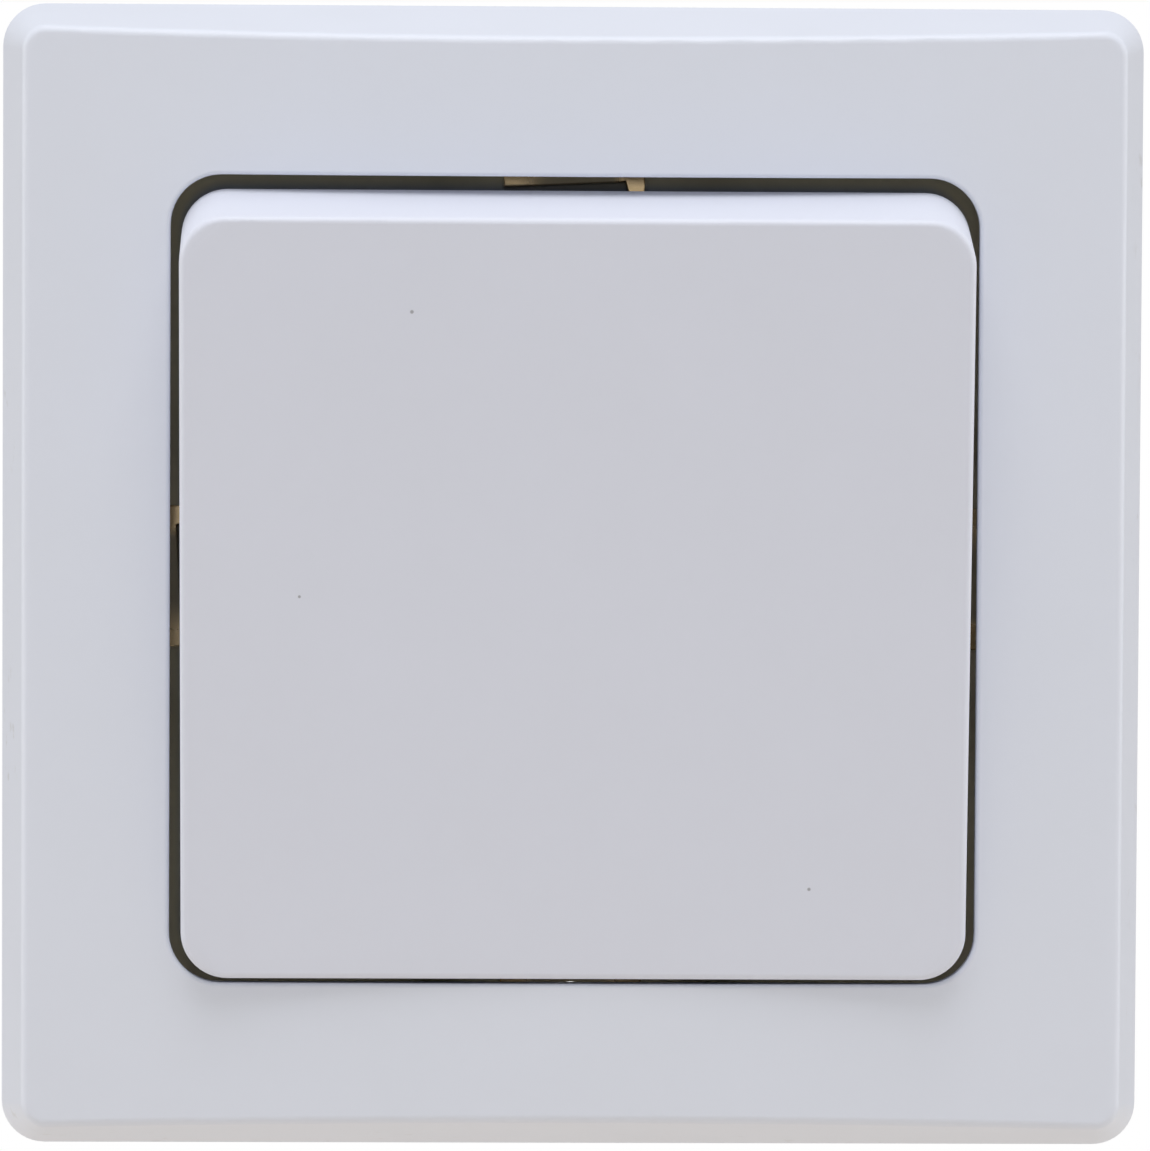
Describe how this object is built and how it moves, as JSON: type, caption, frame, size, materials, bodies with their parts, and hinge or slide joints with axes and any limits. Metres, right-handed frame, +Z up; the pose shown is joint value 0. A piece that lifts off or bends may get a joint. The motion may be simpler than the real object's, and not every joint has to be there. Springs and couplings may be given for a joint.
{
  "type": "intermediate switch",
  "caption": "Flush intermediate switch: white rocker in an arched square cover frame, on a steel plate with a moulded insert, crossed contacts, push-in terminals and spreading claws.",
  "frame": {"origin": "middle of the mounting plate, on the wall plane", "axes": "+Z up, +X to the right as seen from the front, +Y into the wall; the rocker faces -Y"},
  "size_m": [0.08, 0.0364, 0.08],
  "materials": {
    "white_gloss": "polished white moulding",
    "pale_moulding": "pale moulded plastic",
    "dark_moulding": "dark moulded plastic",
    "button_moulding": "orange moulded plastic",
    "passivated_steel": "yellow passivated sheet steel",
    "plain_steel": "bright zinc on steel",
    "spring_steel": "bare spring steel",
    "brass": "stamped brass",
    "silver": "silver alloy rivets"
  },
  "bodies": {
    "insert": {"cover_frame": "white_gloss", "mounting_plate": "passivated_steel", "insert_base": "pale_moulding", "insert_cover": "pale_moulding", "fulcrum_bar_left": "brass", "fulcrum_bar_right": "brass", "link_bar_flat": "brass", "link_bar_stepped": "brass", "fixed_tips_flat": "silver", "fixed_tips_stepped": "silver", "clamp_spring_1": "spring_steel", "clamp_spring_2": "spring_steel", "clamp_spring_3": "spring_steel", "clamp_spring_4": "spring_steel", "claw_screw_left": "plain_steel", "claw_screw_right": "plain_steel"},
    "rocker": {"rocker": "white_gloss", "rocker_carrier": "dark_moulding", "plunger_spring_left": "spring_steel", "plunger_spring_right": "spring_steel"},
    "plunger_left": {"plunger_left": "dark_moulding"},
    "plunger_right": {"plunger_right": "dark_moulding"},
    "blade_left": {"contact_blade_left": "brass", "blade_tips_left": "silver"},
    "blade_right": {"contact_blade_right": "brass", "blade_tips_right": "silver"},
    "release_1": {"release_button_1": "button_moulding"},
    "release_2": {"release_button_2": "button_moulding"},
    "release_3": {"release_button_3": "button_moulding"},
    "release_4": {"release_button_4": "button_moulding"},
    "claw_nut_left": {"claw_nut_left": "plain_steel"},
    "claw_left": {"claw_left": "passivated_steel"},
    "claw_nut_right": {"claw_nut_right": "plain_steel"},
    "claw_right": {"claw_right": "passivated_steel"}
  },
  "joints": [
    {"name": "rocker_tilt", "type": "hinge", "parent": "insert", "child": "rocker", "pos_m": [0, 0.0018, 0], "axis": [1, 0, 0], "range_deg": [-11, 0]},
    {"name": "plunger_left_slide", "type": "slide", "parent": "rocker", "child": "plunger_left", "axis": [0, -0.9954, -0.0958], "range_m": [0, 0.0008], "stiffness_N_per_m": 500, "springref_m": -0.004, "deforming": ["plunger_spring_left"]},
    {"name": "plunger_right_slide", "type": "slide", "parent": "rocker", "child": "plunger_right", "axis": [0, -0.9954, -0.0958], "range_m": [0, 0.0008], "stiffness_N_per_m": 500, "springref_m": -0.004, "deforming": ["plunger_spring_right"]},
    {"name": "blade_left_rock", "type": "hinge", "parent": "insert", "child": "blade_left", "pos_m": [0, 0.0146, 0], "axis": [1, 0, 0], "range_deg": [0, 14]},
    {"name": "blade_right_rock", "type": "hinge", "parent": "insert", "child": "blade_right", "pos_m": [0, 0.0146, 0], "axis": [1, 0, 0], "range_deg": [0, 14]},
    {"name": "release_1_press", "type": "slide", "parent": "insert", "child": "release_1", "axis": [0, -1, 0], "range_m": [0, 0.0015], "stiffness_N_per_m": 200, "springref_m": -0.002, "deforming": ["clamp_spring_1"]},
    {"name": "release_2_press", "type": "slide", "parent": "insert", "child": "release_2", "axis": [0, -1, 0], "range_m": [0, 0.0015], "stiffness_N_per_m": 200, "springref_m": -0.002, "deforming": ["clamp_spring_2"]},
    {"name": "release_3_press", "type": "slide", "parent": "insert", "child": "release_3", "axis": [0, -1, 0], "range_m": [0, 0.0015], "stiffness_N_per_m": 200, "springref_m": -0.002, "deforming": ["clamp_spring_3"]},
    {"name": "release_4_press", "type": "slide", "parent": "insert", "child": "release_4", "axis": [0, -1, 0], "range_m": [0, 0.0015], "stiffness_N_per_m": 200, "springref_m": -0.002, "deforming": ["clamp_spring_4"]},
    {"name": "claw_nut_left_travel", "type": "slide", "parent": "insert", "child": "claw_nut_left", "axis": [0, -1, 0], "range_m": [0, 0.006]},
    {"name": "claw_left_spread", "type": "hinge", "parent": "insert", "child": "claw_left", "pos_m": [-0.0223, 0.00075, 0], "axis": [0, 0, 1], "range_deg": [0, 12]},
    {"name": "claw_nut_right_travel", "type": "slide", "parent": "insert", "child": "claw_nut_right", "axis": [0, -1, 0], "range_m": [0, 0.006]},
    {"name": "claw_right_spread", "type": "hinge", "parent": "insert", "child": "claw_right", "pos_m": [0.0223, 0.00075, 0], "axis": [0, 0, -1], "range_deg": [0, 12]}
  ],
  "couplings": [
    {"joint": "blade_left_rock", "follows": "rocker_tilt", "ratio": -1.2727},
    {"joint": "blade_right_rock", "follows": "rocker_tilt", "ratio": -1.2727},
    {"joint": "claw_left_spread", "follows": "claw_nut_left_travel", "rad_per_m": 34.907},
    {"joint": "claw_right_spread", "follows": "claw_nut_right_travel", "rad_per_m": 34.907}
  ]
}
